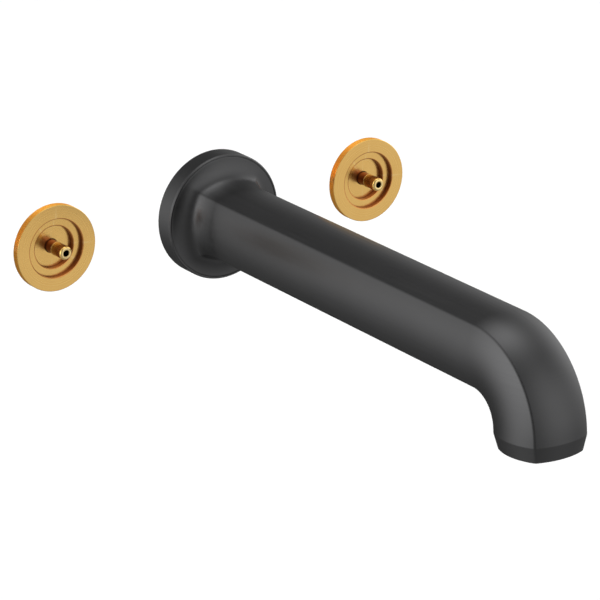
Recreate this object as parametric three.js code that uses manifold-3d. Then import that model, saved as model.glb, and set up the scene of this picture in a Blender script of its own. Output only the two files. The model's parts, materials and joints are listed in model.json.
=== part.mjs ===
// Wall mounted bath faucet trim: a long square spout on a round wall flange, between two brass valve
// rings whose splined stems carry the hot and cold handles.
//
// Units are millimetres. +Z is up, +Y points into the wall and +X to the right of someone facing it.
// The finished wall is the plane y = 0, and the origin is on it, on the centreline of the spout.

import * as THREE from "three";
import { mergeVertices } from "three/addons/utils/BufferGeometryUtils.js";
import Module from "manifold-3d";

const wasm = await Module();
wasm.setup();

// ---------------------------------------------------------------------------------------------------
// Driving dimensions
// ---------------------------------------------------------------------------------------------------

const VALVE_OFFSET = 101.6; // spout centreline to each stem: 8 in between the stems
const GAP = 0.3; // clearance between neighbouring pieces
const OVERLAP = 0.1; // how far joined shapes run into each other
const OVERSHOOT = 1; // how far cutting shapes run past the faces they cut
const DEGREE = Math.PI / 180;

// Sides of the round pieces.
const FINE = 64;
const COARSE = 32;
const SMALL = 12;
const HEXAGON = 6;
const SEAL_SIDES = 6; // around an O-ring's own section

const SPOUT = {
  run: 256.5, // wall to the start of the bend
  bendRadius: 33.2,
  bendAngle: 86 * DEGREE,
  drop: 10.65, // straight end below the bend
  corner: 16.26, // half the distance between two ridges
  bulge: 3.7, // rise of each side between its ridges
  chamfer: 8.2, // height of the tapered band at the outlet
  outletCorner: 14.72,
  outletBulge: 3.35,
  cavityCorner: 14.3,
  cavityBulge: 3.5,
  mouthCorner: 12.9, // narrower cavity that holds the outlet insert
  mouthBulge: 3.0,
  mouthDepth: 10.3,
  sideSteps: 8, // points along one side of the section
  bendSteps: 10,
};

const FLANGE = {
  radius: 35.3,
  thickness: 11.6,
  bevel: 0.5,
  bore: 27,
  counterbore: 34.2,
  counterboreDepth: 2.8,
  gasketInner: 28.2,
  gasketOuter: 32.8,
  gasketRecess: 1.8,
};

// The spout's foot, seated in the flange's counterbore, and the bell that narrows from it to the plain
// square section. The bell's surface faces the front at its rim and tilts until it runs along the spout.
const FOOT = { radius: 33.9, edge: 0.5 };

const BELL = {
  rim: 33.65,
  step: 0.15, // the rim lies this far behind the flange's front
  tilts: [3, 10, 20, 30, 50, 62, 70, 80, 90], // degrees
  bends: [34, 26, 13, 11, 5.5, 8, 17, 32, 50], // how tightly it bends at each tilt, before scaling
  steps: 12,
};

const NIPPLE = {
  back: 22, // threaded end, behind the wall
  front: 56,
  threadRadius: 10.4,
  chamfer: 1, // at both ends
  barrelRadius: 11,
  bore: 7.5,
  hexRadius: 14,
  hexBack: 1.5,
  hexFront: 7.5,
  grooveRadius: 9,
  grooveWidth: 2.6,
  grooves: [44, 50], // wall to the middle of each O-ring groove
  sealMean: 10.2,
  sealSection: 0.9,
};

const COLLAR = {
  back: 10,
  shoulder: 58,
  front: 64,
  corner: 14,
  bulge: 3.4,
  bore: 11.3,
};

const SCREW = {
  distance: 36, // wall to the screw's axis
  radius: 2.45,
  outerEnd: 18.9, // below the spout's axis
  innerEnd: 11.35,
  socketRadius: 1.5,
  socketDepth: 3,
  holeRadius: 2.8,
  holeLength: 30, // down from the spout's axis
};

const WATERWAY = { outer: 6.5, inner: 5.5, steps: 16, sides: 8, start: 59 };

// Heights in the outlet are measured back from the outlet's plane, along the water's way out.
const OUTLET = {
  insertTop: 9.9,
  insertFloor: 7.4, // underside of the insert's ceiling
  insertBottom: 1.5,
  insertCorner: 12.6,
  insertBulge: 2.95,
  insertBore: 11,
  washerTop: 7.1,
  washerBottom: 6.1,
  washerInner: 7,
  housingTop: 5.8,
  housingBottom: 0.6,
  housingRadius: 10.6,
  housingBore: 9.7,
  lipRadius: 8.8,
  lipHeight: 0.7,
  screenTop: 5.6,
  screenThickness: 0.5,
  straightenerTop: 4.8,
  straightenerThickness: 3.2,
  plateRadius: 9.4, // screen and flow straightener
  screenPitch: 5.76,
  cellPitch: 3.6,
  cellRadius: 1.55,
};

// Valve rings. Depths are from the wall: positive behind it, negative in front of it.
const RING = {
  radius: 23.92,
  edgeFront: -4.05,
  faceRadius: 23.6,
  face: -4.35,
  recessRadius: 16.2,
  step: -1.7,
  bore: 11.75,
  skirtRadius: 14,
  skirtEnd: 11.5,
};

const BONNET = { radius: 11.45, face: 1.4, ceiling: 7.4, end: 10, stemBore: 4.25, threadBore: 9.5 };

const STEM = {
  tip: -14.5,
  tipRound: 0.7,
  tipRadius: 3.5,
  splineFront: -12.9,
  splineBack: -4.9,
  splineCrest: 3.7,
  splineRoot: 3.3,
  splines: 24,
  shank: 3.8,
  shankBevel: 0.15,
  grooveFront: 4.4,
  grooveBack: 6.4,
  grooveRadius: 2.7,
  flangeFront: 8.5,
  flangeBack: 10,
  flangeRadius: 7.2,
  tangEnd: 11.6,
  tangLength: 9,
  tangWidth: 3,
  holeRadius: 1.62,
  holeEnd: -4.5,
  sealMean: 3.5,
  sealSection: 0.58,
};

const CARTRIDGE = {
  sleeveFront: 7.7,
  sleeveRadius: 9.2,
  sleeveBore: 7.9,
  lipFront: 15.9,
  lipRadius: 6.7,
  sleeveBack: 17.3,
  windowFront: 10.7,
  windowBack: 12.7,
  windowWidth: 7,
  washerFront: 7.65,
  washerBack: 8.25,
  washerInner: 4.4,
  discRadius: 7.5,
  movingFront: 10.3,
  movingBack: 12.9,
  fixedFront: 13.2,
  fixedBack: 15.6,
  portInner: 2.6,
  portOuter: 6.1,
  portHalfAngle: 35 * DEGREE,
  portSteps: 6,
  slotLength: 9.8,
  slotWidth: 3.6,
  seatInner: 4.2,
  seatOuter: 6.4,
  seatBack: 18.5,
  sealInner: 9.7,
  sealOuter: 11.3,
  sealFront: 10.3,
  sealBack: 11.3,
};

// ---------------------------------------------------------------------------------------------------
// Materials
// ---------------------------------------------------------------------------------------------------

function material(color, roughness, metalness) {
  return new THREE.MeshStandardMaterial({ color, roughness, metalness });
}

const blackFinish = () => material(0x4b4b4b, 0.38, 0.9);
const brass = () => material(0xbc9358, 0.3, 1);
const machinedBrass = () => material(0xc8a264, 0.35, 1);
const steel = () => material(0xa8a9aa, 0.3, 1);
const copper = () => material(0xb87a55, 0.35, 1);
const rubber = () => material(0x1c1c1d, 0.85, 0);
const foam = () => material(0x2c2c2e, 0.95, 0);
const ceramic = () => material(0xe9e6df, 0.25, 0);
const plastic = () => material(0xd9d9d6, 0.5, 0);

// ---------------------------------------------------------------------------------------------------
// Geometry helpers
// ---------------------------------------------------------------------------------------------------

// Turns a closed outline of [radius, y] points about the Y axis. The outline runs anticlockwise, seen
// with the radius to the right and y up.
function turnedRing(outline, sides) {
  const points = [...outline, outline[0]].map(([radius, y]) => new THREE.Vector2(radius, y));
  return new THREE.LatheGeometry(points, sides);
}

// Turns an outline of [radius, y] points that starts and ends on the Y axis.
function turnedSolid(outline, sides) {
  const points = outline.map(([radius, y]) => new THREE.Vector2(radius, y));
  return new THREE.LatheGeometry(points, sides);
}

function plainRing(inner, outer, low, high, sides) {
  return turnedRing([[inner, low], [outer, low], [outer, high], [inner, high]], sides);
}

function sealRing(mean, section, y, sides) {
  const outline = Array.from({ length: SEAL_SIDES }, (_, i) => {
    const angle = (2 * Math.PI * (i + 0.5)) / SEAL_SIDES;
    return [mean + section * Math.cos(angle), y + section * Math.sin(angle)];
  });
  return turnedRing(outline, sides);
}

// Extrudes a shape along Y, from low to high.
function extrudedAlongY(shape, low, high) {
  const geometry = new THREE.ExtrudeGeometry(shape, { depth: high - low, bevelEnabled: false });
  return geometry.rotateX(-Math.PI / 2).translate(0, low, 0);
}

function rodAlongY(radius, low, high, sides) {
  const geometry = new THREE.CylinderGeometry(radius, radius, high - low, sides);
  return geometry.translate(0, (low + high) / 2, 0);
}

function circlePath(radius, sides) {
  return Array.from({ length: sides }, (_, i) => {
    const angle = (2 * Math.PI * i) / sides;
    return new THREE.Vector2(radius * Math.cos(angle), radius * Math.sin(angle));
  });
}

function toSolid(geometry) {
  const bare = geometry.clone();
  bare.deleteAttribute("normal");
  bare.deleteAttribute("uv");
  const merged = mergeVertices(bare);
  const corners = merged.index.array;
  const kept = [];
  for (let i = 0; i < corners.length; i += 3) {
    const [a, b, c] = [corners[i], corners[i + 1], corners[i + 2]];
    if (a !== b && b !== c && c !== a) {
      kept.push(a, b, c);
    }
  }
  return new wasm.Manifold(
    new wasm.Mesh({
      numProp: 3,
      vertProperties: new Float32Array(merged.attributes.position.array),
      triVerts: new Uint32Array(kept),
    }),
  );
}

function toGeometry(solid) {
  const mesh = solid.getMesh();
  const geometry = new THREE.BufferGeometry();
  geometry.setAttribute("position", new THREE.BufferAttribute(mesh.vertProperties, 3));
  geometry.setIndex(new THREE.BufferAttribute(mesh.triVerts, 1));
  return geometry;
}

const cut = (geometry, ...tools) =>
  toGeometry(tools.reduce((solid, tool) => solid.subtract(toSolid(tool)), toSolid(geometry)));

const join = (geometry, ...others) =>
  toGeometry(others.reduce((solid, other) => solid.add(toSolid(other)), toSolid(geometry)));

function part(name, geometry, finish) {
  const mesh = new THREE.Mesh(geometry, finish);
  mesh.name = name;
  return mesh;
}

// ---------------------------------------------------------------------------------------------------
// The bulged square section and the spout's centreline
// ---------------------------------------------------------------------------------------------------

// A square whose sides are shallow arcs: corner is half a side, and bulge is the rise at mid-side.
function bulgedSquare(corner, bulge) {
  const radius = (corner ** 2 + bulge ** 2) / (2 * bulge);
  const reach = Math.asin(corner / radius);
  const points = [];
  for (let side = 0; side < 4; side += 1) {
    for (let step = 0; step < SPOUT.sideSteps; step += 1) {
      const angle = reach * (1 - (2 * step) / SPOUT.sideSteps);
      const across = radius * Math.sin(angle);
      const out = corner + bulge - radius * (1 - Math.cos(angle));
      points.push(new THREE.Vector2(across, out).rotateAround(new THREE.Vector2(), (side * Math.PI) / 2));
    }
  }
  return points;
}

// The outline pushed out towards a circle: amount 0 leaves it, and 1 makes it the circle.
function towardsCircle(outline, radius, amount) {
  return outline.map((point) => point.clone().lerp(point.clone().setLength(radius), amount));
}

function roundOutline(radius) {
  return towardsCircle(bulgedSquare(SPOUT.corner, SPOUT.bulge), radius, 1);
}

const BEND_LENGTH = SPOUT.bendRadius * SPOUT.bendAngle;
const SPOUT_LENGTH = SPOUT.run + BEND_LENGTH + SPOUT.drop;

// Origin and up direction of the section at a distance along the centreline from the wall.
function frameAt(distance) {
  const angle = THREE.MathUtils.clamp((distance - SPOUT.run) / SPOUT.bendRadius, 0, SPOUT.bendAngle);
  const straight = Math.min(distance, SPOUT.run);
  const after = Math.max(0, distance - SPOUT.run - BEND_LENGTH);
  const sine = Math.sin(angle);
  const cosine = Math.cos(angle);
  const y = -straight - SPOUT.bendRadius * sine - after * cosine;
  const z = -SPOUT.bendRadius * (1 - cosine) - after * sine;
  return { origin: new THREE.Vector3(0, y, z), up: new THREE.Vector3(0, -sine, cosine) };
}

function frameOnAxis(y) {
  return { origin: new THREE.Vector3(0, y, 0), up: new THREE.Vector3(0, 0, 1) };
}

function ringAt(frame, outline) {
  return outline.map(({ x, y }) => new THREE.Vector3(x, 0, 0).addScaledVector(frame.up, y).add(frame.origin));
}

// One closed surface through a loop of rings of equal length: the last ring joins the first.
function surfaceThrough(rings) {
  const count = rings[0].length;
  const positions = rings.flat().flatMap((point) => point.toArray());
  const index = [];
  rings.forEach((_, row) => {
    const nextRow = (row + 1) % rings.length;
    for (let i = 0; i < count; i += 1) {
      const next = (i + 1) % count;
      const [a, b] = [row * count + i, row * count + next];
      const [c, d] = [nextRow * count + next, nextRow * count + i];
      index.push(a, b, c, a, c, d);
    }
  });
  const geometry = new THREE.BufferGeometry();
  geometry.setAttribute("position", new THREE.Float32BufferAttribute(positions, 3));
  geometry.setIndex(index);
  return geometry;
}

class SpoutLine extends THREE.Curve {
  constructor(start, end) {
    super();
    this.start = start;
    this.end = end;
  }

  getPoint(t) {
    return frameAt(THREE.MathUtils.lerp(this.start, this.end, t)).origin;
  }
}

// ---------------------------------------------------------------------------------------------------
// Spout: shell, flange and what is inside them
// ---------------------------------------------------------------------------------------------------

function screwHole() {
  const { holeRadius, holeLength, distance } = SCREW;
  const geometry = new THREE.CylinderGeometry(holeRadius, holeRadius, holeLength, COARSE);
  return geometry.rotateX(Math.PI / 2).translate(0, -distance, -holeLength / 2);
}

// Radius of the bell's curve where its surface has this tilt, before scaling.
function bendRadius(tilt) {
  const { tilts, bends } = BELL;
  const after = tilts.findIndex((limit) => tilt <= limit);
  const share = (tilt - tilts[after - 1]) / (tilts[after] - tilts[after - 1]);
  return THREE.MathUtils.lerp(bends[after - 1], bends[after], share);
}

// Points of (radius, distance from the wall) from the bell's rim to its neck.
function bellProfile() {
  const turn = (BELL.tilts.at(-1) - BELL.tilts[0]) / BELL.steps;
  const path = [new THREE.Vector2(0, 0)];
  for (let i = 0; i < BELL.steps; i += 1) {
    const tilt = BELL.tilts[0] + turn * (i + 0.5);
    const length = bendRadius(tilt) * turn * DEGREE;
    const stride = new THREE.Vector2(length, 0).rotateAround(new THREE.Vector2(), tilt * DEGREE);
    path.push(path.at(-1).clone().add(stride));
  }
  const scale = (BELL.rim - SPOUT.corner - SPOUT.bulge) / path.at(-1).x;
  const start = FLANGE.thickness - BELL.step;
  return path.map(({ x, y }) => new THREE.Vector2(BELL.rim - scale * x, start + scale * y));
}

// Rings down the bell: a circle at the rim turns into the plain section.
function bellRings() {
  const section = bulgedSquare(SPOUT.corner, SPOUT.bulge);
  const halfWidth = SPOUT.corner + SPOUT.bulge;
  return bellProfile().map(({ x, y }) => {
    const amount = (x - halfWidth) / (BELL.rim - halfWidth);
    return ringAt(frameAt(y), towardsCircle(section, BELL.rim, amount));
  });
}

function bendRings(outline, steps) {
  return Array.from({ length: steps + 1 }, (_, i) =>
    ringAt(frameAt(SPOUT.run + (BEND_LENGTH * i) / steps), outline),
  );
}

function spoutShell() {
  const section = bulgedSquare(SPOUT.corner, SPOUT.bulge);
  const outlet = bulgedSquare(SPOUT.outletCorner, SPOUT.outletBulge);
  const cavity = bulgedSquare(SPOUT.cavityCorner, SPOUT.cavityBulge);
  const mouth = bulgedSquare(SPOUT.mouthCorner, SPOUT.mouthBulge);
  const footBack = frameAt(FLANGE.thickness - FLANGE.counterboreDepth + GAP);
  const mouthTop = frameAt(SPOUT_LENGTH - SPOUT.mouthDepth);
  const tip = frameAt(SPOUT_LENGTH);
  const geometry = surfaceThrough([
    ringAt(footBack, roundOutline(FOOT.radius)),
    ringAt(frameAt(FLANGE.thickness - FOOT.edge), roundOutline(FOOT.radius)),
    ...bellRings(),
    ...bendRings(section, SPOUT.bendSteps),
    ringAt(frameAt(SPOUT_LENGTH - SPOUT.chamfer), section),
    ringAt(tip, outlet),
    ringAt(tip, mouth),
    ringAt(mouthTop, mouth),
    ringAt(mouthTop, cavity),
    ...bendRings(cavity, SPOUT.bendSteps / 2).reverse(),
    ringAt(footBack, cavity),
  ]);
  return part("spout_shell", cut(geometry, screwHole()), blackFinish());
}

function wallFlange() {
  const front = -FLANGE.thickness;
  const ledge = front + FLANGE.counterboreDepth;
  const recess = -FLANGE.gasketRecess;
  const outline = [
    [FLANGE.bore, ledge],
    [FLANGE.counterbore, ledge],
    [FLANGE.counterbore, front],
    [FLANGE.radius - FLANGE.bevel, front],
    [FLANGE.radius, front + FLANGE.bevel],
    [FLANGE.radius, 0],
    [FLANGE.gasketOuter + GAP, 0],
    [FLANGE.gasketOuter + GAP, recess],
    [FLANGE.gasketInner - GAP, recess],
    [FLANGE.gasketInner - GAP, 0],
    [FLANGE.bore, 0],
  ];
  return part("wall_flange", turnedRing(outline, FINE), blackFinish());
}

function wallGasket() {
  const front = -FLANGE.gasketRecess + GAP;
  const ring = plainRing(FLANGE.gasketInner, FLANGE.gasketOuter, front, 0, FINE);
  return part("wall_gasket", ring, foam());
}

// The nipple's outline over its two O-ring grooves, from the front end to the back.
function nippleOutline() {
  const barrel = NIPPLE.barrelRadius;
  const groove = NIPPLE.grooveRadius;
  const half = NIPPLE.grooveWidth / 2;
  const grooves = [...NIPPLE.grooves].reverse().flatMap((middle) => [
    [barrel, -middle - half],
    [groove, -middle - half],
    [groove, -middle + half],
    [barrel, -middle + half],
  ]);
  return [
    [NIPPLE.bore, -NIPPLE.front],
    [barrel - NIPPLE.chamfer, -NIPPLE.front],
    [barrel, -NIPPLE.front + NIPPLE.chamfer],
    ...grooves,
    [barrel, -NIPPLE.hexBack],
    [NIPPLE.threadRadius, -NIPPLE.hexBack],
    [NIPPLE.threadRadius, NIPPLE.back - NIPPLE.chamfer],
    [NIPPLE.threadRadius - NIPPLE.chamfer, NIPPLE.back],
    [NIPPLE.bore, NIPPLE.back],
  ];
}

function spoutNipple() {
  const { hexRadius, hexFront, hexBack, bore } = NIPPLE;
  const hex = rodAlongY(hexRadius, -hexFront, -hexBack, HEXAGON);
  const core = rodAlongY(bore + OVERSHOOT, -hexFront - OVERSHOOT, -hexBack + OVERSHOOT, COARSE);
  const hexRing = cut(hex, core);
  return part("spout_nipple", join(turnedRing(nippleOutline(), COARSE), hexRing), brass());
}

function nippleSeals() {
  return NIPPLE.grooves.map((middle, i) =>
    part(
      ["nipple_o_ring_back", "nipple_o_ring_front"][i],
      sealRing(NIPPLE.sealMean, NIPPLE.sealSection, -middle, COARSE),
      rubber(),
    ),
  );
}

// Square plug inside the shell that takes the nipple from behind and the waterway tube in front.
function adapterCollar() {
  const outside = bulgedSquare(COLLAR.corner, COLLAR.bulge);
  const bore = roundOutline(COLLAR.bore);
  const tubeBore = roundOutline(WATERWAY.outer + GAP);
  const geometry = surfaceThrough([
    ringAt(frameAt(COLLAR.back), outside),
    ringAt(frameAt(COLLAR.front), outside),
    ringAt(frameAt(COLLAR.front), tubeBore),
    ringAt(frameAt(COLLAR.shoulder), tubeBore),
    ringAt(frameAt(COLLAR.shoulder), bore),
    ringAt(frameAt(COLLAR.back), bore),
  ]);
  return part("adapter_collar", cut(geometry, screwHole()), machinedBrass());
}

function setScrew() {
  const length = SCREW.outerEnd - SCREW.innerEnd;
  const body = rodAlongY(SCREW.radius, 0, length, SMALL);
  const socket = rodAlongY(SCREW.socketRadius, -OVERSHOOT, SCREW.socketDepth, HEXAGON);
  const screw = part("set_screw", cut(body, socket), steel());
  screw.rotation.x = Math.PI / 2;
  screw.position.set(0, -SCREW.distance, -SCREW.outerEnd);
  return screw;
}

function waterwayTube() {
  const shape = new THREE.Shape(circlePath(WATERWAY.outer, WATERWAY.sides));
  shape.holes.push(new THREE.Path(circlePath(WATERWAY.inner, WATERWAY.sides)));
  const end = SPOUT_LENGTH - OUTLET.insertFloor - GAP;
  const geometry = new THREE.ExtrudeGeometry(shape, {
    extrudePath: new SpoutLine(WATERWAY.start, end),
    steps: WATERWAY.steps,
    bevelEnabled: false,
  });
  return part("waterway_tube", geometry, copper());
}

// ---------------------------------------------------------------------------------------------------
// Outlet: pieces are made with the outlet's plane at y = 0 and the water leaving along +Y
// ---------------------------------------------------------------------------------------------------

function outletInsert() {
  const outside = bulgedSquare(OUTLET.insertCorner, OUTLET.insertBulge);
  const bore = roundOutline(OUTLET.insertBore);
  const tubeBore = roundOutline(WATERWAY.outer + GAP);
  const geometry = surfaceThrough([
    ringAt(frameOnAxis(-OUTLET.insertBottom), outside),
    ringAt(frameOnAxis(-OUTLET.insertTop), outside),
    ringAt(frameOnAxis(-OUTLET.insertTop), tubeBore),
    ringAt(frameOnAxis(-OUTLET.insertFloor), tubeBore),
    ringAt(frameOnAxis(-OUTLET.insertFloor), bore),
    ringAt(frameOnAxis(-OUTLET.insertBottom), bore),
  ]);
  return part("outlet_insert", geometry, machinedBrass());
}

function aeratorWasher() {
  const ring = plainRing(
    OUTLET.washerInner, OUTLET.housingRadius, -OUTLET.washerTop, -OUTLET.washerBottom, COARSE,
  );
  return part("aerator_washer", ring, rubber());
}

function aeratorHousing() {
  const top = -OUTLET.housingTop;
  const bottom = -OUTLET.housingBottom;
  const outline = [
    [OUTLET.housingBore, top],
    [OUTLET.housingRadius, top],
    [OUTLET.housingRadius, bottom],
    [OUTLET.lipRadius, bottom],
    [OUTLET.lipRadius, bottom - OUTLET.lipHeight],
    [OUTLET.housingBore, bottom - OUTLET.lipHeight],
  ];
  return part("aerator_housing", turnedRing(outline, COARSE), steel());
}

// A round plate pierced by a hexagonal pattern of cells, with the given number of rows about its centre.
function cellPlate(rows, pitch, cellRadius, low, high) {
  const shape = new THREE.Shape(circlePath(OUTLET.plateRadius, COARSE));
  for (let row = -rows; row <= rows; row += 1) {
    const cells = 2 * rows + 1 - Math.abs(row);
    for (let i = 0; i < cells; i += 1) {
      const x = (i - (cells - 1) / 2) * pitch;
      const y = row * pitch * Math.sin(60 * DEGREE);
      const cell = circlePath(cellRadius, HEXAGON).map((point) => point.add(new THREE.Vector2(x, y)));
      shape.holes.push(new THREE.Path(cell));
    }
  }
  return extrudedAlongY(shape, low, high);
}

function aeratorScreen() {
  const top = -OUTLET.screenTop;
  const plate = cellPlate(1, OUTLET.screenPitch, OUTLET.cellRadius, top, top + OUTLET.screenThickness);
  return part("aerator_screen", plate, steel());
}

function flowStraightener() {
  const top = -OUTLET.straightenerTop;
  const plate = cellPlate(2, OUTLET.cellPitch, OUTLET.cellRadius, top, top + OUTLET.straightenerThickness);
  return part("flow_straightener", plate, plastic());
}

function outletGroup() {
  const group = new THREE.Group();
  group.position.copy(frameAt(SPOUT_LENGTH).origin);
  group.rotation.x = Math.PI + SPOUT.bendAngle;
  group.add(outletInsert(), aeratorWasher(), aeratorHousing(), aeratorScreen(), flowStraightener());
  return group;
}

// ---------------------------------------------------------------------------------------------------
// Valves: every piece is turned about its own stem's axis
// ---------------------------------------------------------------------------------------------------

function mountingRing(side) {
  const outline = [
    [RING.bore, RING.step],
    [RING.recessRadius, RING.step],
    [RING.recessRadius, RING.face],
    [RING.faceRadius, RING.face],
    [RING.radius, RING.edgeFront],
    [RING.radius, 0],
    [RING.skirtRadius, 0],
    [RING.skirtRadius, RING.skirtEnd],
    [RING.bore, RING.skirtEnd],
  ];
  return part(`${side}_mounting_ring`, turnedRing(outline, FINE), brass());
}

function bonnet(side) {
  const outline = [
    [BONNET.stemBore, BONNET.face],
    [BONNET.radius, BONNET.face],
    [BONNET.radius, BONNET.end],
    [BONNET.threadBore, BONNET.end],
    [BONNET.threadBore, BONNET.ceiling],
    [BONNET.stemBore, BONNET.ceiling],
  ];
  return part(`${side}_bonnet`, turnedRing(outline, COARSE), brass());
}

function splineShape() {
  const points = Array.from({ length: 2 * STEM.splines }, (_, i) => {
    const angle = (Math.PI * i) / STEM.splines;
    const radius = i % 2 ? STEM.splineRoot : STEM.splineCrest;
    return new THREE.Vector2(radius * Math.cos(angle), radius * Math.sin(angle));
  });
  return new THREE.Shape(points);
}

function stemBody() {
  return turnedSolid([
    [0, STEM.tip],
    [STEM.tipRadius - STEM.tipRound, STEM.tip],
    [STEM.tipRadius, STEM.tip + STEM.tipRound],
    [STEM.tipRadius, STEM.splineFront],
    [STEM.splineRoot - GAP, STEM.splineFront],
    [STEM.splineRoot - GAP, STEM.splineBack],
    [STEM.shank - STEM.shankBevel, STEM.splineBack],
    [STEM.shank, STEM.splineBack + STEM.shankBevel],
    [STEM.shank, STEM.grooveFront],
    [STEM.grooveRadius, STEM.grooveFront],
    [STEM.grooveRadius, STEM.grooveBack],
    [STEM.shank, STEM.grooveBack],
    [STEM.shank, STEM.flangeFront],
    [STEM.flangeRadius, STEM.flangeFront],
    [STEM.flangeRadius, STEM.flangeBack],
    [0, STEM.flangeBack],
  ], COARSE);
}

function stem(side) {
  const splines = extrudedAlongY(splineShape(), STEM.splineFront - OVERLAP, STEM.splineBack + OVERLAP);
  const tangDepth = STEM.tangEnd - STEM.flangeBack + OVERLAP;
  const tang = new THREE.BoxGeometry(STEM.tangLength, tangDepth, STEM.tangWidth);
  tang.translate(0, STEM.tangEnd - tangDepth / 2, 0);
  const solid = join(stemBody(), splines, tang);
  const hole = rodAlongY(STEM.holeRadius, STEM.tip - OVERSHOOT, STEM.holeEnd, SMALL);
  return part(`${side}_stem`, cut(solid, hole), brass());
}

function stemSeal(side) {
  const middle = (STEM.grooveFront + STEM.grooveBack) / 2;
  return part(`${side}_stem_o_ring`, sealRing(STEM.sealMean, STEM.sealSection, middle, COARSE), rubber());
}

function thrustWasher(side) {
  const { washerInner, washerFront, washerBack } = CARTRIDGE;
  const ring = plainRing(washerInner, STEM.flangeRadius, washerFront, washerBack, COARSE);
  return part(`${side}_thrust_washer`, ring, plastic());
}

// One port of a ceramic disc: a sector of a ring, centred on the direction given.
function portPath(direction) {
  const { portInner, portOuter, portHalfAngle, portSteps } = CARTRIDGE;
  const arc = (radius, sign) =>
    Array.from({ length: portSteps + 1 }, (_, i) => {
      const angle = direction + sign * portHalfAngle * ((2 * i) / portSteps - 1);
      return new THREE.Vector2(radius * Math.cos(angle), radius * Math.sin(angle));
    });
  return new THREE.Path([...arc(portOuter, 1), ...arc(portInner, -1)]);
}

function ceramicDisc(firstPort, low, high) {
  const shape = new THREE.Shape(circlePath(CARTRIDGE.discRadius, COARSE));
  shape.holes.push(portPath(firstPort), portPath(firstPort + Math.PI));
  return extrudedAlongY(shape, low, high);
}

// Its ports are a quarter turn from those of the fixed disc while the valve is shut.
function movingDisc(side) {
  const disc = ceramicDisc(Math.PI / 2, CARTRIDGE.movingFront, CARTRIDGE.movingBack);
  const slotEnd = STEM.tangEnd + GAP;
  const slotDepth = slotEnd - CARTRIDGE.movingFront + OVERSHOOT;
  const slot = new THREE.BoxGeometry(CARTRIDGE.slotLength, slotDepth, CARTRIDGE.slotWidth);
  slot.translate(0, slotEnd - slotDepth / 2, 0);
  return part(`${side}_moving_disc`, cut(disc, slot), ceramic());
}

function fixedDisc(side) {
  const disc = ceramicDisc(0, CARTRIDGE.fixedFront, CARTRIDGE.fixedBack);
  return part(`${side}_fixed_disc`, disc, ceramic());
}

function cartridgeSleeve(side) {
  const tube = turnedRing([
    [CARTRIDGE.sleeveBore, CARTRIDGE.sleeveFront],
    [CARTRIDGE.sleeveRadius, CARTRIDGE.sleeveFront],
    [CARTRIDGE.sleeveRadius, CARTRIDGE.sleeveBack],
    [CARTRIDGE.lipRadius, CARTRIDGE.sleeveBack],
    [CARTRIDGE.lipRadius, CARTRIDGE.lipFront],
    [CARTRIDGE.sleeveBore, CARTRIDGE.lipFront],
  ], COARSE);
  const height = CARTRIDGE.windowBack - CARTRIDGE.windowFront;
  const across = 2 * (CARTRIDGE.sleeveRadius + OVERSHOOT);
  const windows = new THREE.BoxGeometry(across, height, CARTRIDGE.windowWidth);
  windows.translate(0, CARTRIDGE.windowFront + height / 2, 0);
  return part(`${side}_cartridge_sleeve`, cut(tube, windows), brass());
}

function seatSeal(side) {
  const { seatInner, seatOuter, lipFront, seatBack } = CARTRIDGE;
  return part(`${side}_seat_seal`, plainRing(seatInner, seatOuter, lipFront, seatBack, COARSE), rubber());
}

function bonnetSeal(side) {
  const { sealInner, sealOuter, sealFront, sealBack } = CARTRIDGE;
  return part(`${side}_bonnet_seal`, plainRing(sealInner, sealOuter, sealFront, sealBack, COARSE), rubber());
}

function valveGroup(side, x) {
  const group = new THREE.Group();
  group.position.x = x;
  const makers = [
    mountingRing, bonnet, stem, stemSeal, thrustWasher,
    movingDisc, fixedDisc, cartridgeSleeve, seatSeal, bonnetSeal,
  ];
  group.add(...makers.map((make) => make(side)));
  return group;
}

// ---------------------------------------------------------------------------------------------------
// Assembly
// ---------------------------------------------------------------------------------------------------

const faucet = new THREE.Group();
faucet.add(
  spoutShell(),
  wallFlange(),
  wallGasket(),
  spoutNipple(),
  ...nippleSeals(),
  adapterCollar(),
  setScrew(),
  waterwayTube(),
  outletGroup(),
  valveGroup("hot", -VALVE_OFFSET),
  valveGroup("cold", VALVE_OFFSET),
);

export default faucet;
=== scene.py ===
"""Looks of a wall mounted bath faucet: square black spout, round flange and two brass valve rings.

Everything is in metres in the frame of the CAD model: the wall is y = 0, +Y goes into it, +Z is up.
"""

import json
import math

import bmesh
import bpy
from mathutils import Matrix, Vector


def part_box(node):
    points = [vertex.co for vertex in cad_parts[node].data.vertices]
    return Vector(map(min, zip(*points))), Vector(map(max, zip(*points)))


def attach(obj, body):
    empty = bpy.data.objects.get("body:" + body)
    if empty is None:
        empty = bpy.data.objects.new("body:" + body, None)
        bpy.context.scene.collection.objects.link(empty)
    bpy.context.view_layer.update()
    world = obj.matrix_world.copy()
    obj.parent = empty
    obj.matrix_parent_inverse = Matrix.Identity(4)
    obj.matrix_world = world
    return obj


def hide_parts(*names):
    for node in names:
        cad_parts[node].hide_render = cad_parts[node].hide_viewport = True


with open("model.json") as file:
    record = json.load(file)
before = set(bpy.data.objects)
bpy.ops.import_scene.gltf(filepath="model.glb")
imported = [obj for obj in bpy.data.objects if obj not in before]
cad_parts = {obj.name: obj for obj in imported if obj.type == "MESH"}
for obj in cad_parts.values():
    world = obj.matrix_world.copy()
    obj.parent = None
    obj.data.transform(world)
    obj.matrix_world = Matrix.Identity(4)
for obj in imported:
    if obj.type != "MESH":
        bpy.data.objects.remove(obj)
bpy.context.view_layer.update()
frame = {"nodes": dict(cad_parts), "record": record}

MM = 0.001
FIXED = "fixed_trim"
SIDES = {"hot": "hot_spindle", "cold": "cold_spindle"}

# ---------------------------------------------------------------------------------------------------
# Driving dimensions, in millimetres
# ---------------------------------------------------------------------------------------------------

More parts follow.
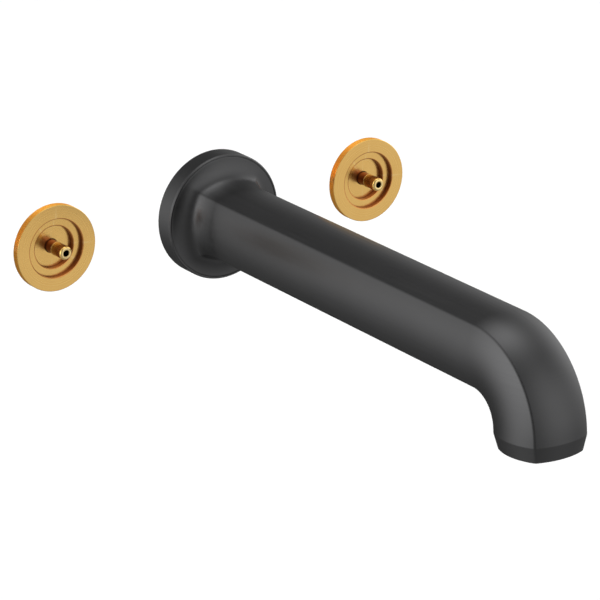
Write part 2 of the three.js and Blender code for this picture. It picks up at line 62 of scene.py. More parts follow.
RUN = 256.5                      # wall to the start of the bend
BEND_RADIUS = 33.2
BEND_ANGLE = math.radians(86)
DROP = 10.65
BEND_LENGTH = BEND_RADIUS * BEND_ANGLE
LENGTH = RUN + BEND_LENGTH + DROP

CORNER, BULGE = 16.26, 3.70      # half side between ridges, and rise of each side
TIP_CORNER, TIP_BULGE = 14.72, 3.35
MOUTH_CORNER, MOUTH_BULGE = 12.9, 3.0
CAVITY_CORNER, CAVITY_BULGE = 14.3, 3.5
CHAMFER = 8.2
MOUTH_DEPTH = 10.3
RIDGE_ROUND = 0.9                # radius of each ridge

FLANGE_RADIUS = 35.3
FLANGE_THICKNESS = 11.6
COUNTERBORE_RADIUS = 33.98
COUNTERBORE_DEPTH = 2.8
FOOT_RADIUS = 33.92
BELL_RIM = 33.65
BELL_STEP = 0.15                 # the rim lies this far behind the flange's front
# Tilt of the bell's surface from the rim to the neck, in degrees, and how tightly it bends there
BELL_TILTS = (3, 10, 20, 30, 50, 62, 70, 80, 90)
BELL_BENDS = (34, 26, 13, 11, 5.5, 8, 17, 32, 50)


FLOOR_SIZE = 24.0                # metres
FLOOR_HEIGHT = -2.6

# Direction (azimuth, elevation) in degrees, tightness, and strength of each soft box
SOFT_BOXES = {
    "left_wall": (-90, 7, 13.8, 2.11),
    "left_high": (-63, 33, 8.6, 1.50),
    "left_back": (-59, -5, 11.2, 1.88),
    "right": (81, 15, 7.9, 1.94),
    "top_back": (32, 74, 16.4, 2.27),
    "top_left": (-31, 86, 10.1, 0.62),
    "front_right": (150, 2, 4.3, 1.17),
    "front_high": (168, 38, 7.3, 0.77),
    "low_right": (89, -62, 15.5, 0.26),
    "low_left": (-96, -51, 2.6, 0.46),
}
ROOM_LIGHT = 0.02


# ---------------------------------------------------------------------------------------------------
# Mesh helpers
# ---------------------------------------------------------------------------------------------------

def finish_mesh(name, vertices, faces, grain, centre, sharp_angle=35):
    """A smooth-shaded object with the UV layer 'grain': U runs along the grain, in metres."""
    mesh = bpy.data.meshes.new(name)
    mesh.from_pydata(vertices, [], faces)
    layer = mesh.uv_layers.new(name="grain")
    for polygon, coords in zip(mesh.polygons, grain):
        for loop, uv in zip(polygon.loop_indices, coords):
            layer.data[loop].uv = uv
    mesh.validate()
    mesh.polygons.foreach_set("use_smooth", [True] * len(mesh.polygons))
    mesh.set_sharp_from_angle(angle=math.radians(sharp_angle))
    piece = bpy.data.objects.new(name, mesh)
    piece.location = centre
    bpy.context.scene.collection.objects.link(piece)
    weighted = piece.modifiers.new("weighted_normals", "WEIGHTED_NORMAL")
    weighted.keep_sharp = True
    return piece


def grid_surface(name, rings, along, around, centre=(0, 0, 0), closed_rows=True, sharp_angle=35):
    """Joins rings of points into one surface. along and around give the grain's coordinates."""
    count = len(rings[0])
    vertices = [point for ring in rings for point in ring]
    faces, grain = [], []
    rows = len(rings) if closed_rows else len(rings) - 1
    for row in range(rows):
        below = (row + 1) % len(rings)
        for i in range(count):
            j = (i + 1) % count
            faces.append((row * count + i, row * count + j, below * count + j, below * count + i))
            a0, a1 = around[row][i], around[row][i + 1]
            b0, b1 = around[below][i], around[below][i + 1]
            grain.append((
                (along[row], a0), (along[row], a1), (along[row + 1], b1), (along[row + 1], b0),
            ))
    return finish_mesh(name, vertices, faces, grain, centre, sharp_angle)


def arc_length(points):
    """Running length along a list of points, starting at 0."""
    total, lengths = 0.0, [0.0]
    for first, second in zip(points, points[1:]):
        total += (Vector(second) - Vector(first)).length
        lengths.append(total)
    return lengths


def filleted(outline, radius, steps=3, closed=True):
    """The outline with each corner turned into a short arc."""
    result = []
    count = len(outline)
    for i, corner in enumerate(outline):
        here = Vector(corner[:2])
        size = corner[2] if len(corner) > 2 else radius
        if size <= 0 or (not closed and i in (0, count - 1)):
            result.append(tuple(here))
            continue
        before = Vector(outline[i - 1][:2]) - here
        after = Vector(outline[(i + 1) % count][:2]) - here
        reach = min(size, before.length * 0.45, after.length * 0.45)
        start = here + before.normalized() * reach
        end = here + after.normalized() * reach
        for step in range(steps + 1):
            t = step / steps
            result.append(tuple(start.lerp(here, t).lerp(here.lerp(end, t), t)))
    return result


def turned(name, outline, centre, sides=128, fillet=0.15, closed=True, finishes=None, shape=None):
    """An outline of (radius, y[, fillet]) in millimetres, turned about the Y axis through centre.

    finishes is a list of materials and a function that picks one of them for a face from the radius,
    y and angle of its middle. shape gives a point's real radius from the same three values.
    """
    profile = filleted(outline, fillet, closed=closed)
    lengths = arc_length([(r * MM, y * MM) for r, y in [*profile, profile[0]]])
    mean = sum(r for r, _ in profile) / len(profile) * MM
    step = 2 * math.pi / sides
    vertices, faces, grain, picks = [], [], [], []
    for r, y in profile:
        for k in range(sides):
            radius = shape(r, y, k * step) if shape else r
            vertices.append((radius * math.sin(k * step) * MM, y * MM, radius * math.cos(k * step) * MM))
    rows = len(profile) if closed else len(profile) - 1
    for row in range(rows):
        below = (row + 1) % len(profile)
        middle = [(a + b) / 2 for a, b in zip(profile[row], profile[below])]
        for k in range(sides):
            j = (k + 1) % sides
            faces.append((row * sides + k, row * sides + j, below * sides + j, below * sides + k))
            u0, u1 = mean * k * step, mean * (k + 1) * step
            v0, v1 = lengths[row], lengths[row + 1]
            grain.append(((u0, v0), (u1, v0), (u1, v1), (u0, v1)))
            picks.append(finishes[1](*middle, (k + 0.5) * step) if finishes else 0)
    piece = finish_mesh(name, vertices, faces, grain, centre)
    for finish in finishes[0] if finishes else ():
        piece.data.materials.append(finish)
    piece.data.polygons.foreach_set("material_index", picks)
    weld = piece.modifiers.new("weld", "WELD")
    weld.merge_threshold = 1e-7
    return piece


def stand_for(piece, node, body, material=None):
    """piece takes the place of a CAD node."""
    if material is not None:
        piece.data.materials.append(material)
    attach(piece, body)
    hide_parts(node)
    return piece


# ---------------------------------------------------------------------------------------------------
# Materials
# ---------------------------------------------------------------------------------------------------

class Surface:
    """A node material: a Principled shader and small helpers that add nodes to it."""

    def __init__(self, name, colour, roughness, metallic):
        self.material = bpy.data.materials.new(name)
        self.material.use_nodes = True
        self.tree = self.material.node_tree
        self.shader = self.tree.nodes["Principled BSDF"]
        self.shader.inputs["Base Color"].default_value = (*colour, 1)
        self.shader.inputs["Roughness"].default_value = roughness
        self.shader.inputs["Metallic"].default_value = metallic
        self.colour = None
        self.normal = None

    def node(self, kind, **values):
        made = self.tree.nodes.new(kind)
        for key, value in values.items():
            setattr(made, key, value)
        return made

    def link(self, source, target):
        self.tree.links.new(source, target)

    def coordinates(self, source, scale):
        """Coordinates from 'object' or the 'grain' layer, stretched by scale."""
        if source == "grain":
            origin = self.node("ShaderNodeUVMap", uv_map="grain").outputs["UV"]
        else:
            origin = self.node("ShaderNodeTexCoord").outputs["Object"]
        mapping = self.node("ShaderNodeMapping")
        mapping.inputs["Scale"].default_value = scale
        self.link(origin, mapping.inputs["Vector"])
        return mapping.outputs["Vector"]

    def noise(self, source, scale, detail=3.0, roughness=0.5):
        texture = self.node("ShaderNodeTexNoise")
        texture.inputs["Scale"].default_value = 1.0
        texture.inputs["Detail"].default_value = detail
        texture.inputs["Roughness"].default_value = roughness
        self.link(self.coordinates(source, scale), texture.inputs["Vector"])
        return texture.outputs["Fac"]

    def mix_values(self, factor, first, second):
        node = self.node("ShaderNodeMix", data_type="FLOAT")
        self.link(factor, node.inputs["Factor"])
        self.link(first, node.inputs["A"])
        self.link(second, node.inputs["B"])
        return node.outputs["Result"]

    def spread(self, value, low, high, start=0.3, end=0.7):
        """value, from start to end, mapped to low to high."""
        node = self.node("ShaderNodeMapRange")
        node.inputs["From Min"].default_value = start
        node.inputs["From Max"].default_value = end
        node.inputs["To Min"].default_value = low
        node.inputs["To Max"].default_value = high
        self.link(value, node.inputs["Value"])
        return node.outputs["Result"]

    def blend_colour(self, factor, colour, amount=1.0):
        """Mixes colour over the base colour where factor is 1."""
        mix = self.node("ShaderNodeMix", data_type="RGBA")
        scaled = self.node("ShaderNodeMath", operation="MULTIPLY")
        scaled.inputs[1].default_value = amount
        self.link(factor, scaled.inputs[0])
        self.link(scaled.outputs[0], mix.inputs["Factor"])
        if self.colour is None:
            mix.inputs["A"].default_value = self.shader.inputs["Base Color"].default_value
        else:
            self.link(self.colour, mix.inputs["A"])
        mix.inputs["B"].default_value = (*colour, 1)
        self.colour = mix.outputs["Result"]
        self.link(self.colour, self.shader.inputs["Base Color"])

    def roughen(self, value, low, high):
        self.link(self.spread(value, low, high), self.shader.inputs["Roughness"])

    def bump(self, height, strength, distance):
        node = self.node("ShaderNodeBump")
        node.inputs["Strength"].default_value = strength
        node.inputs["Distance"].default_value = distance
        self.link(height, node.inputs["Height"])
        if self.normal is not None:
            self.link(self.normal, node.inputs["Normal"])
        self.normal = node.outputs["Normal"]
        self.link(self.normal, self.shader.inputs["Normal"])

    def edges(self, low=0.52, high=0.6):
        """1 on convex edges and 0 elsewhere."""
        pointiness = self.node("ShaderNodeNewGeometry").outputs["Pointiness"]
        return self.spread(pointiness, 0.0, 1.0, low, high)


def black_metal():
    """Dark satin metal with fine level brushing: along the spout's sides and across its front."""
    surface = Surface("black_brushed", (0.07, 0.07, 0.071), 0.36, 1.0)
    level = surface.noise("object", (25, 25, 5200), detail=4)
    lengthwise = surface.noise("object", (5200, 25, 25), detail=4)
    facing = surface.node("ShaderNodeSeparateXYZ")
    surface.link(surface.node("ShaderNodeNewGeometry").outputs["True Normal"], facing.inputs[0])
    steepness = surface.node("ShaderNodeMath", operation="ABSOLUTE")
    surface.link(facing.outputs["Z"], steepness.inputs[0])
    brushing = surface.mix_values(surface.spread(steepness.outputs[0], 0, 1, 0.6, 0.8), level, lengthwise)
    cloud = surface.noise("object", (28, 28, 28), detail=3)
    surface.blend_colour(surface.spread(brushing, 0, 1), (0.082, 0.082, 0.083), 0.5)
    surface.blend_colour(surface.spread(cloud, 0, 1), (0.064, 0.064, 0.065), 0.5)
    # painted highlight: convex edges and ridges are painted a lighter grey
    surface.blend_colour(surface.edges(), (0.11, 0.11, 0.11), 0.4)
    surface.roughen(brushing, 0.30, 0.42)
    surface.bump(brushing, 0.10, 0.00002)
    return surface.material


def turned_brass(name, colour, deep, crevice_shade, roughness, shade_reach=0.003):
    """Bare brass with the fine rings that a lathe leaves, a painted highlight on convex edges, and painted shade: a
    darker colour in corners and grooves, found by ambient occlusion.
    """
    surface = Surface(name, colour, roughness, 1.0)
    rings = surface.noise("grain", (0, 1500, 0), detail=2)
    cloud = surface.noise("object", (90, 90, 90), detail=4)
    surface.blend_colour(surface.spread(cloud, 0, 1), deep, 0.3)
    # painted highlight: convex edges are painted a paler gold
    surface.blend_colour(surface.edges(), (0.80, 0.62, 0.33), 0.3)
    occlusion_shade = surface.node("ShaderNodeAmbientOcclusion")
    occlusion_shade.inputs["Distance"].default_value = shade_reach
    # painted shade: corners and grooves darken towards the shade colour wherever ambient occlusion finds them
    surface.blend_colour(surface.spread(occlusion_shade.outputs["AO"], 1, 0, 0.35, 0.95), crevice_shade, 0.9)
    surface.roughen(rings, roughness - 0.02, roughness + 0.02)
    surface.bump(rings, 0.003, 0.00002)
    return surface.material


def plain_metal(name, colour, roughness):
    """Machined metal for the pieces inside."""
    surface = Surface(name, colour, roughness, 1.0)
    cloud = surface.noise("object", (300, 300, 300), detail=5)
    grain = surface.noise("object", (2500, 200, 2500), detail=3)
    surface.blend_colour(surface.spread(cloud, 0, 1), tuple(0.75 * c for c in colour), 0.5)
    surface.roughen(cloud, roughness - 0.08, roughness + 0.12)
    surface.bump(grain, 0.1, 0.00002)
    return surface.material


def soft_plastic(name, colour, roughness, pit):
    """Rubber, foam, ceramic or plastic: a fine pitted skin of the given depth."""
    surface = Surface(name, colour, roughness, 0.0)
    grain = surface.noise("object", (2200, 2200, 2200), detail=4)
    cloud = surface.noise("object", (250, 250, 250), detail=3)
    surface.blend_colour(surface.spread(cloud, 0, 1), tuple(0.8 * c for c in colour), 0.5)
    surface.roughen(grain, roughness - 0.1, min(1.0, roughness + 0.1))
    surface.bump(grain, 0.3, pit)
    return surface.material


# ---------------------------------------------------------------------------------------------------
# Spout
# ---------------------------------------------------------------------------------------------------

def bulged_square(corner, bulge, ridge=RIDGE_ROUND, side_steps=20, ridge_steps=6):
    """Points of a square with arched sides and rounded ridges, from the middle of the top side round."""
    radius = (corner ** 2 + bulge ** 2) / (2 * bulge)
    reach = math.asin(corner / radius)
    trim = reach * (1 - ridge / corner)
    points = []
    for side in range(4):
        turn = Matrix.Rotation(side * math.pi / 2, 2)
        def at(angle):
            return Vector((radius * math.sin(angle), corner + bulge - radius * (1 - math.cos(angle))))
        arc = [at(trim * (1 - 2 * step / side_steps)) for step in range(side_steps + 1)]
        end = arc[-1]
        tip = at(-reach)
        nxt = Vector((-end.y, -end.x))
        fillet = []
        for step in range(1, ridge_steps):
            t = step / ridge_steps
            fillet.append(end.lerp(tip, t).lerp(tip.lerp(nxt, t), t))
        points += [turn @ point for point in arc + fillet]
    return points


def towards_circle(points, radius, amount):
    return [point.lerp(point.normalized() * radius, amount) for point in points]


def frame_at(distance):
    """Origin and up direction of the section at a distance from the wall along the centreline."""
    angle = min(max((distance - RUN) / BEND_RADIUS, 0.0), BEND_ANGLE)
    straight = min(distance, RUN)
    after = max(0.0, distance - RUN - BEND_LENGTH)
    sine, cosine = math.sin(angle), math.cos(angle)
    y = -straight - BEND_RADIUS * sine - after * cosine
    z = -BEND_RADIUS * (1 - cosine) - after * sine
    return Vector((0, y, z)), Vector((0, -sine, cosine))


def section_at(distance, points):
    origin, up = frame_at(distance)
    return [tuple((Vector((p.x, 0, 0)) + up * p.y + origin) * MM) for p in points]


def bend_radius(tilt):
    """Radius of the bell's curve where its surface has this tilt, before scaling."""
    pairs = list(zip(BELL_TILTS, BELL_BENDS))
    for (low, before), (high, after) in zip(pairs, pairs[1:]):
        if tilt <= high:
            return before + (after - before) * (tilt - low) / (high - low)
    return BELL_BENDS[-1]


def bell_profile(steps=72):
    """(radius, distance from the wall) from the rim to the neck, where the surface runs along the spout."""
    turn = math.radians(BELL_TILTS[-1] - BELL_TILTS[0]) / steps
    inward, ahead = [0.0], [0.0]
    for k in range(steps):
        tilt = math.radians(BELL_TILTS[0]) + turn * (k + 0.5)
        length = bend_radius(math.degrees(tilt)) * turn
        inward.append(inward[-1] + length * math.cos(tilt))
        ahead.append(ahead[-1] + length * math.sin(tilt))
    scale = (BELL_RIM - CORNER - BULGE) / inward[-1]
    start = FLANGE_THICKNESS - BELL_STEP
    return [(BELL_RIM - scale * i, start + scale * a) for i, a in zip(inward, ahead)]


def bell_sections():
    """(distance, outline) pairs down the bell: a circle at the rim turns into the plain section."""
    plain = bulged_square(CORNER, BULGE)
    half = CORNER + BULGE
    return [
        (distance, towards_circle(plain, BELL_RIM, (radius - half) / (BELL_RIM - half)))
        for radius, distance in bell_profile()
    ]


def spout_sections():
    plain = bulged_square(CORNER, BULGE)
    tip = bulged_square(TIP_CORNER, TIP_BULGE)
    mouth = bulged_square(MOUTH_CORNER, MOUTH_BULGE)
    cavity = bulged_square(CAVITY_CORNER, CAVITY_BULGE)
    foot = FLANGE_THICKNESS - COUNTERBORE_DEPTH + 0.3
    sections = [
        (foot, towards_circle(plain, FOOT_RADIUS, 1)),
        (FLANGE_THICKNESS - 0.5, towards_circle(plain, FOOT_RADIUS, 1)),
        (FLANGE_THICKNESS - 0.26, towards_circle(plain, FOOT_RADIUS - 0.08, 1)),
    ]
    sections += bell_sections()
    sections += [(distance, plain) for distance in (60.0, 120.0, 180.0, 230.0, 250.0)]
    bend_steps = 56
    sections += [(RUN + BEND_LENGTH * k / bend_steps, plain) for k in range(bend_steps + 1)]
    chamfer_top = LENGTH - CHAMFER
    sections += [
        (chamfer_top - 0.25, plain),
        (chamfer_top, bulged_square(CORNER - 0.02, BULGE)),
        (chamfer_top + 0.25, bulged_square(CORNER - 0.06, BULGE - 0.01)),
        (LENGTH - 0.2, bulged_square(TIP_CORNER + 0.03, TIP_BULGE)),
        (LENGTH, bulged_square(TIP_CORNER - 0.15, TIP_BULGE)),
        (LENGTH, mouth),
        (LENGTH - MOUTH_DEPTH, mouth),
        (LENGTH - MOUTH_DEPTH, cavity),
    ]
    sections += [(RUN + BEND_LENGTH * k / 16, cavity) for k in range(16, -1, -1)]
    sections += [(foot, cavity)]
    return sections


def spout():
    sections = spout_sections()
    rings = [section_at(distance, outline) for distance, outline in sections]
    along = [0.0]
    for (d0, _), (d1, _) in zip(sections, sections[1:] + sections[:1]):
        along.append(along[-1] + abs(d1 - d0) * MM)
    perimeter = arc_length([(p.x * MM, p.y * MM) for p in bulged_square(CORNER, BULGE)])
    perimeter.append(perimeter[-1] + (perimeter[1] - perimeter[0]))
    around = [perimeter] * len(sections)
    return grid_surface("spout", rings, along, around)


def wall_flange():
    front = -FLANGE_THICKNESS
    ledge = front + COUNTERBORE_DEPTH
    outline = [
        (27.0, ledge), (COUNTERBORE_RADIUS, ledge), (COUNTERBORE_RADIUS, front, 0.05),
        (FLANGE_RADIUS - 0.55, front, 0.1), (FLANGE_RADIUS, front + 0.9, 0.2),
        (FLANGE_RADIUS, 0), (33.1, 0), (33.1, -1.8), (27.9, -1.8), (27.9, 0), (27.0, 0),
    ]
    return turned("flange", outline, (0, 0, 0), sides=192)


# ---------------------------------------------------------------------------------------------------
# Valves
# ---------------------------------------------------------------------------------------------------

def threaded(radius, start, end, pitch):
    """Outline points of a 60 degree thread between start and end."""
    turns = max(1, round((end - start) / pitch))
    step = (end - start) / turns
    flank = 0.42 * step
    depth = flank * math.tan(math.radians(60))
    points = []
    for k in range(turns):
        crest = start + k * step
        points += [
            (radius, crest + 0.06 * step, 0.02), (radius - depth, crest + 0.06 * step + flank, 0.02),
            (radius - depth, crest + 0.10 * step + flank, 0.02), (radius, crest + 0.10 * step + 2 * flank, 0.02),
        ]
    return points


RING_RADIUS, RING_FACE, RING_STEP = 23.9, -4.35, -1.7
RECESS_RADIUS, BORE_RADIUS = 16.2, 11.75
LIP = 0.6                        # rounding of the two inner edges


def mounting_ring(side, centre):
    outline = [
        (BORE_RADIUS, RING_STEP, LIP), (RECESS_RADIUS, RING_STEP, 0.03), (RECESS_RADIUS, RING_FACE, LIP),
        (RING_RADIUS - 0.2, RING_FACE, 0.06), (RING_RADIUS, RING_FACE + 0.2, 0.06),
        *threaded(RING_RADIUS, RING_FACE + 0.25, -0.1, 0.75), (RING_RADIUS, 0), (14.0, 0),
        *threaded(14.0, 0.6, 11.0, 1.0), (13.6, 11.5), (BORE_RADIUS, 11.5),
    ]

    def pick(radius, y, _):
        """Which finish: 0 bright face, 1 recess wall in painted shade, 2 thread with a painted reflection, 3 inner edge
        in painted shade, 4 outer edge with a painted highlight.
        """
        if abs(radius - RECESS_RADIUS) < 0.02 and RING_FACE + LIP < y < RING_STEP:
            return 1
        if radius < BORE_RADIUS + 0.02 and y > RING_STEP + LIP:
            return 1
        if RING_FACE < y < RING_FACE + LIP and radius < RECESS_RADIUS + LIP:
            return 3
        if RING_STEP < y < RING_STEP + LIP and radius < BORE_RADIUS + LIP:
            return 3
        if RING_FACE < y < RING_FACE + 0.24 and radius > RING_RADIUS - 0.25:
            return 4
        thread = radius > 22 and y > RING_FACE + 0.24 or 12 < radius <= 14 and y > 0.1
        return 2 if thread else 0

    finishes = ((brass_finish, recess_shade, thread_reflection, edge_shade, highlight_gold), pick)
    return turned(f"{side}_ring", outline, centre, sides=160, fillet=0.1, finishes=finishes)


BONNET_FACE = 1.4                # the floor of the inner recess, behind the wall's plane


def bonnet(side, centre):
    outline = [
        (3.98, BONNET_FACE, 0.05), (11.73, BONNET_FACE, 0.03), (11.73, 4.2, 0.05), (11.45, 4.5, 0.05),
        (11.45, 10.0), (9.5, 10.0),
        (9.5, 7.4), (4.25, 7.4), (4.25, 4.0, 0.05), (3.98, 3.7, 0.05),
    ]
    return turned(f"{side}_bonnet_piece", outline, centre, sides=128, fillet=0.1)


CREST, ROOT, TEETH = 3.72, 3.2, 24
SPLINE_FRONT, SPLINE_BACK = -13.4, -4.95
STEM_OUTLINE = (
    (0.0, -5.6, 0), (1.0, -4.9, 0), (1.7, -4.9, 0.1), (1.7, -14.1, 0.1), (1.85, -14.38, 0.15),
    (2.6, -14.5, 0.3), (3.1, -14.3, 0.3), (3.5, -13.75, 0.1), (3.58, SPLINE_FRONT - 0.02, 0),
    (CREST, SPLINE_FRONT, 0), (CREST, SPLINE_FRONT + 0.2, 0), (CREST, SPLINE_BACK, 0), (3.4, -4.9, 0), (3.74, -4.86, 0.03),
    (3.88, -4.78, 0.05), (3.88, -4.6, 0.05), (3.66, -4.5, 0.05), (3.66, 4.4, 0.1), (2.7, 4.4, 0.1),
    (2.7, 6.4, 0.1), (3.9, 6.4, 0.1), (3.9, 8.5, 0.1), (7.2, 8.5, 0.2), (7.2, 10.0, 0.2), (0.0, 10.0, 0),
)


def spline_height(angle):
    """0 in a groove and 1 on a crest."""
    phase = abs((angle * TEETH / (2 * math.pi)) % 1 - 0.5) * 2
    return min(1.0, max(0.0, (phase - 0.15) / 0.32))


def stem(side, centre):
    """The stem is turned, except between its shoulder and its tip, where the radius waves in splines."""

    def shape(radius, y, angle):
        return ROOT + (CREST - ROOT) * spline_height(angle) if radius == CREST else radius

    def pick(radius, y, angle):
        """Which finish: 0 hole and roots in painted shade, 1 tip with a painted highlight, 2 shank in painted shade, 3
        lighter brass with a painted highlight, 4 spline flanks in painted shade.
        """
        if radius < 1.75 and y < -4:
            return 0
        if SPLINE_FRONT < y < SPLINE_BACK and radius > 3.7:
            height = spline_height(angle)
            return 3 if height > 0.95 else 4 if height > 0.1 else 0
        if y < -14.2 and radius < 3.1:
            return 1
        return 3 if y < -4.55 else 2

    finishes = ((hole_shade, tip_highlight, shank_shade, highlight_gold, edge_shade), pick)
    return turned(
        f"{side}_splined_stem", STEM_OUTLINE, centre, sides=TEETH * 12, fillet=0, closed=False,
        finishes=finishes, shape=shape,
    )


# ---------------------------------------------------------------------------------------------------
# Behind the wall
# ---------------------------------------------------------------------------------------------------

HEXAGON_RADIUS = 14.0


def nipple():
    """Threaded half-inch nipple with a hexagon, and a barrel with two grooves for O-rings."""
    barrel, groove = 11.0, 9.0
    grooves = []
    for middle in (50.0, 44.0):
        grooves += [
            (barrel, -middle - 1.3, 0.15), (groove, -middle - 1.3), (groove, -middle + 1.3), (barrel, -middle + 1.3),
        ]
    outline = [
        (7.5, -56.0, 0.3), (10.0, -56.0, 0.3), (barrel, -55.0, 0.3), *grooves,
        (barrel, -7.5), (HEXAGON_RADIUS, -7.5, 0.4), (HEXAGON_RADIUS, -1.5, 0.4), (9.7, -1.5),
        *threaded(10.4, 0.4, 20.8, 1.81), (9.4, 22.0, 0.2), (7.5, 22.0, 0.4),
    ]

    def shape(radius, y, angle):
        flat = math.cos(math.pi / 6) / math.cos((angle + math.pi / 6) % (math.pi / 3) - math.pi / 6)
        return radius * flat if radius > barrel + 1 else radius

    return turned("nipple", outline, (0, 0, 0), sides=96, fillet=0.2, shape=shape)


def smooth_group():
    """Geometry nodes that weld a CAD node's corners and shade it smooth, except at real edges."""
    group = bpy.data.node_groups.new("smooth_by_angle", "GeometryNodeTree")
    for in_out in ("INPUT", "OUTPUT"):
        group.interface.new_socket("Geometry", in_out=in_out, socket_type="NodeSocketGeometry")
    nodes, links = group.nodes, group.links
    bare = nodes.new("GeometryNodeRemoveAttribute")
    bare.inputs["Name"].default_value = "custom_normal"
    weld = nodes.new("GeometryNodeMergeByDistance")
    weld.inputs["Distance"].default_value = 1e-6
    small = nodes.new("FunctionNodeCompare")
    small.operation = "LESS_THAN"
    small.inputs["B"].default_value = math.radians(35)
    faces = nodes.new("GeometryNodeSetShadeSmooth")
    edges = nodes.new("GeometryNodeSetShadeSmooth")
    edges.domain = "EDGE"
    links.new(nodes.new("NodeGroupInput").outputs[0], bare.inputs["Geometry"])
    links.new(bare.outputs["Geometry"], weld.inputs["Geometry"])
    links.new(weld.outputs["Geometry"], faces.inputs["Geometry"])
    links.new(faces.outputs["Geometry"], edges.inputs["Geometry"])
    links.new(nodes.new("GeometryNodeInputMeshEdgeAngle").outputs["Unsigned Angle"], small.inputs["A"])
    links.new(small.outputs["Result"], edges.inputs["Shade Smooth"])
    links.new(edges.outputs["Geometry"], nodes.new("NodeGroupOutput").inputs[0])
    return group


# ---------------------------------------------------------------------------------------------------
# Stage
# ---------------------------------------------------------------------------------------------------

def camera():
    data = bpy.data.cameras.new("camera")
    data.sensor_width = 36.0
    data.lens = 198.51
    data.shift_x = -0.0464
    data.clip_start, data.clip_end = 0.05, 50.0
    view = bpy.data.objects.new("camera", data)
    azimuth, elevation = math.radians(-34.881), math.radians(20.157)
    back = Vector((
        math.sin(azimuth) * math.cos(elevation), -math.cos(azimuth) * math.cos(elevation), math.sin(elevation),
    ))
    view.location = (-0.931322, -1.446084, 0.579211)
    view.rotation_mode = "QUATERNION"
    view.rotation_quaternion = (-back).to_track_quat("-Z", "Y")
    bpy.context.scene.collection.objects.link(view)
    bpy.context.scene.camera = view


def only_seen_by_camera(thing):
    """Keeps a stage piece out of reflections and stops it from blocking light."""
    thing.visible_diffuse = False
    thing.visible_glossy = False
    thing.visible_transmission = False
    thing.visible_shadow = False


def floor():
    mesh = bpy.data.meshes.new("floor")
    edge = FLOOR_SIZE / 2
    mesh.from_pydata([(-edge, -edge, 0), (edge, -edge, 0), (edge, edge, 0), (-edge, edge, 0)], [], [(0, 1, 2, 3)])
    ground = bpy.data.objects.new("floor", mesh)
    ground.location.z = FLOOR_HEIGHT
    surface = Surface("floor_paint", (0.93, 0.93, 0.93), 0.8, 0.0)
    surface.shader.inputs["Emission Color"].default_value = (1, 1, 1, 1)
    surface.shader.inputs["Emission Strength"].default_value = 0.12
    surface.bump(surface.noise("object", (40, 40, 40)), 0.02, 0.001)
    mesh.materials.append(surface.material)
    bpy.context.scene.collection.objects.link(ground)
    only_seen_by_camera(ground)


def backdrop():
    """A white shell far behind everything, so that the view past the floor's edge stays pale."""
    shell = bmesh.new()
    bmesh.ops.create_icosphere(shell, subdivisions=4, radius=FLOOR_SIZE)
    mesh = bpy.data.meshes.new("backdrop")
    shell.to_mesh(mesh)
    shell.free()
    curtain = bpy.data.objects.new("backdrop", mesh)
    surface = Surface("backdrop_paint", (0.0, 0.0, 0.0), 1.0, 0.0)
    surface.shader.inputs["Emission Color"].default_value = (1, 1, 1, 1)
    surface.shader.inputs["Emission Strength"].default_value = 1.0
    mesh.materials.append(surface.material)
    bpy.context.scene.collection.objects.link(curtain)
    only_seen_by_camera(curtain)


def direction(azimuth, elevation):
    """Unit vector: azimuth 0 is straight into the wall and 90 is to the right."""
    a, e = math.radians(azimuth), math.radians(elevation)
    return (math.sin(a) * math.cos(e), math.cos(a) * math.cos(e), math.sin(e))


def studio_light():
    """A dark room with soft boxes: each one is a lobe of light about its own direction."""
    world = bpy.data.worlds.new("studio")
    world.use_nodes = True
    tree = world.node_tree
    background = tree.nodes["Background"]
    look = tree.nodes.new("ShaderNodeTexCoord").outputs["Generated"]
    total = None
    for azimuth, elevation, tightness, strength in SOFT_BOXES.values():
        dot = tree.nodes.new("ShaderNodeVectorMath")
        dot.operation = "DOT_PRODUCT"
        dot.inputs[1].default_value = direction(azimuth, elevation)
        tree.links.new(look, dot.inputs[0])
        fall = tree.nodes.new("ShaderNodeMath")
        fall.operation = "MULTIPLY_ADD"
        fall.inputs[1].default_value = tightness
        fall.inputs[2].default_value = -tightness
        tree.links.new(dot.outputs["Value"], fall.inputs[0])
        lobe = tree.nodes.new("ShaderNodeMath")
        lobe.operation = "EXPONENT"
        tree.links.new(fall.outputs[0], lobe.inputs[0])
        add = tree.nodes.new("ShaderNodeMath")
        add.operation = "MULTIPLY_ADD"
        add.inputs[1].default_value = strength
        add.inputs[2].default_value = ROOM_LIGHT
        tree.links.new(lobe.outputs[0], add.inputs[0])
        if total is not None:
            tree.links.new(total, add.inputs[2])
        total = add.outputs[0]
    tree.links.new(total, background.inputs["Strength"])
    background.inputs["Color"].default_value = (1, 1, 1, 1)
    bpy.context.scene.world = world
    bpy.context.scene.view_settings.view_transform = "Standard"


# ---------------------------------------------------------------------------------------------------
# Assembly
# ---------------------------------------------------------------------------------------------------

black = black_metal()
BRASS = (0.70, 0.44, 0.14)
# painted shade colour for the corners and grooves of the brass
CREVICE_SHADE = (0.40, 0.15, 0.045)
brass_finish = turned_brass("turned_brass", BRASS, (0.62, 0.36, 0.10), CREVICE_SHADE, 0.26, 0.0008)
# painted reflection: a deeper orange copy of the brass on the threads, for light bouncing between their flanks
thread_reflection = turned_brass("painted_reflection_thread", (0.88, 0.41, 0.06), (0.80, 0.36, 0.05), (0.70, 0.28, 0.04), 0.24, 0.0008)
# painted highlight: a lighter copy of the brass for the stem's tip
tip_highlight = turned_brass("painted_highlight_tip", (0.85, 0.63, 0.28), (0.80, 0.56, 0.22), (0.62, 0.36, 0.10), 0.26, 0.0005)
# painted highlight: a lighter gold copy of the brass for the ring's outer bevel, the spline crests and the stem's front
highlight_gold = turned_brass("painted_highlight_brass", (0.86, 0.56, 0.17), (0.80, 0.50, 0.13), (0.62, 0.36, 0.10), 0.22, 0.0005)
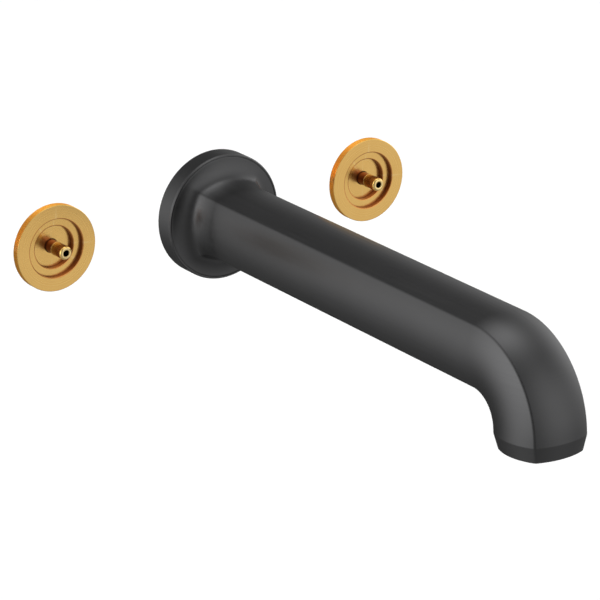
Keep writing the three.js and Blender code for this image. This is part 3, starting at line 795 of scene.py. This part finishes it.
# painted shade: a dark brown copy of the brass for the recess walls
recess_shade = turned_brass("painted_shade_walls", (0.38, 0.14, 0.07), (0.30, 0.11, 0.055), (0.16, 0.045, 0.025), 0.3, 0.002)
# painted shade: a darker orange copy of the brass for the inner lip edges and the spline flanks
edge_shade = turned_brass("painted_shade_edge", (0.66, 0.29, 0.08), (0.58, 0.24, 0.06), (0.30, 0.10, 0.03), 0.26, 0.001)
# painted shade: a dark brown copy of the brass for the stem's shank
shank_shade = turned_brass("painted_shade_shank", (0.34, 0.10, 0.04), (0.28, 0.08, 0.035), (0.16, 0.04, 0.02), 0.3, 0.002)
# painted shade: a near-black copy of the brass for the stem's hole and the spline roots
hole_shade = turned_brass("painted_shade_hole", (0.03, 0.02, 0.012), (0.02, 0.012, 0.008), (0.006, 0.004, 0.003), 0.5)
brass_inner = plain_metal("milled_brass", (0.62, 0.42, 0.16), 0.35)
steel_finish = plain_metal("stainless", (0.55, 0.55, 0.56), 0.3)
copper_finish = plain_metal("drawn_copper", (0.62, 0.30, 0.17), 0.35)
rubber_finish = soft_plastic("nitrile", (0.012, 0.012, 0.012), 0.7, 0.00004)
foam_finish = soft_plastic("foam_cells", (0.03, 0.03, 0.032), 0.9, 0.0003)
ceramic_finish = soft_plastic("ceramic_white", (0.80, 0.78, 0.73), 0.25, 0.000005)
plastic_finish = soft_plastic("acetal", (0.70, 0.70, 0.68), 0.45, 0.00002)

SLOT_MATERIALS = {
    "black_finish": black,
    "brass": brass_finish,
    "machined_brass": brass_inner,
    "steel": steel_finish,
    "copper": copper_finish,
    "rubber": rubber_finish,
    "foam": foam_finish,
    "ceramic": ceramic_finish,
    "plastic": plastic_finish,
}


def paint_cad_nodes():
    smoothing = smooth_group()
    for row in frame["record"]["subparts"]:
        node = frame["nodes"][row["node"]]
        node.modifiers.new("smooth_by_angle", "NODES").node_group = smoothing
        finish = SLOT_MATERIALS[row["material_slot"]]
        for slot in node.material_slots:
            slot.material = finish
        if not node.material_slots:
            node.data.materials.append(finish)


def valve_centre(side):
    low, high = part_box(f"{side}_mounting_ring")
    return ((low[0] + high[0]) / 2, 0, (low[2] + high[2]) / 2)


paint_cad_nodes()
camera()
floor()
backdrop()
studio_light()

stand_for(spout(), "spout_shell", FIXED, black)
stand_for(wall_flange(), "wall_flange", FIXED, black)
stand_for(nipple(), "spout_nipple", FIXED, brass_finish)
for side, spindle in SIDES.items():
    centre = valve_centre(side)
    stand_for(mounting_ring(side, centre), f"{side}_mounting_ring", FIXED)
    stand_for(bonnet(side, centre), f"{side}_bonnet", FIXED, brass_finish)
    stand_for(stem(side, centre), f"{side}_stem", spindle)
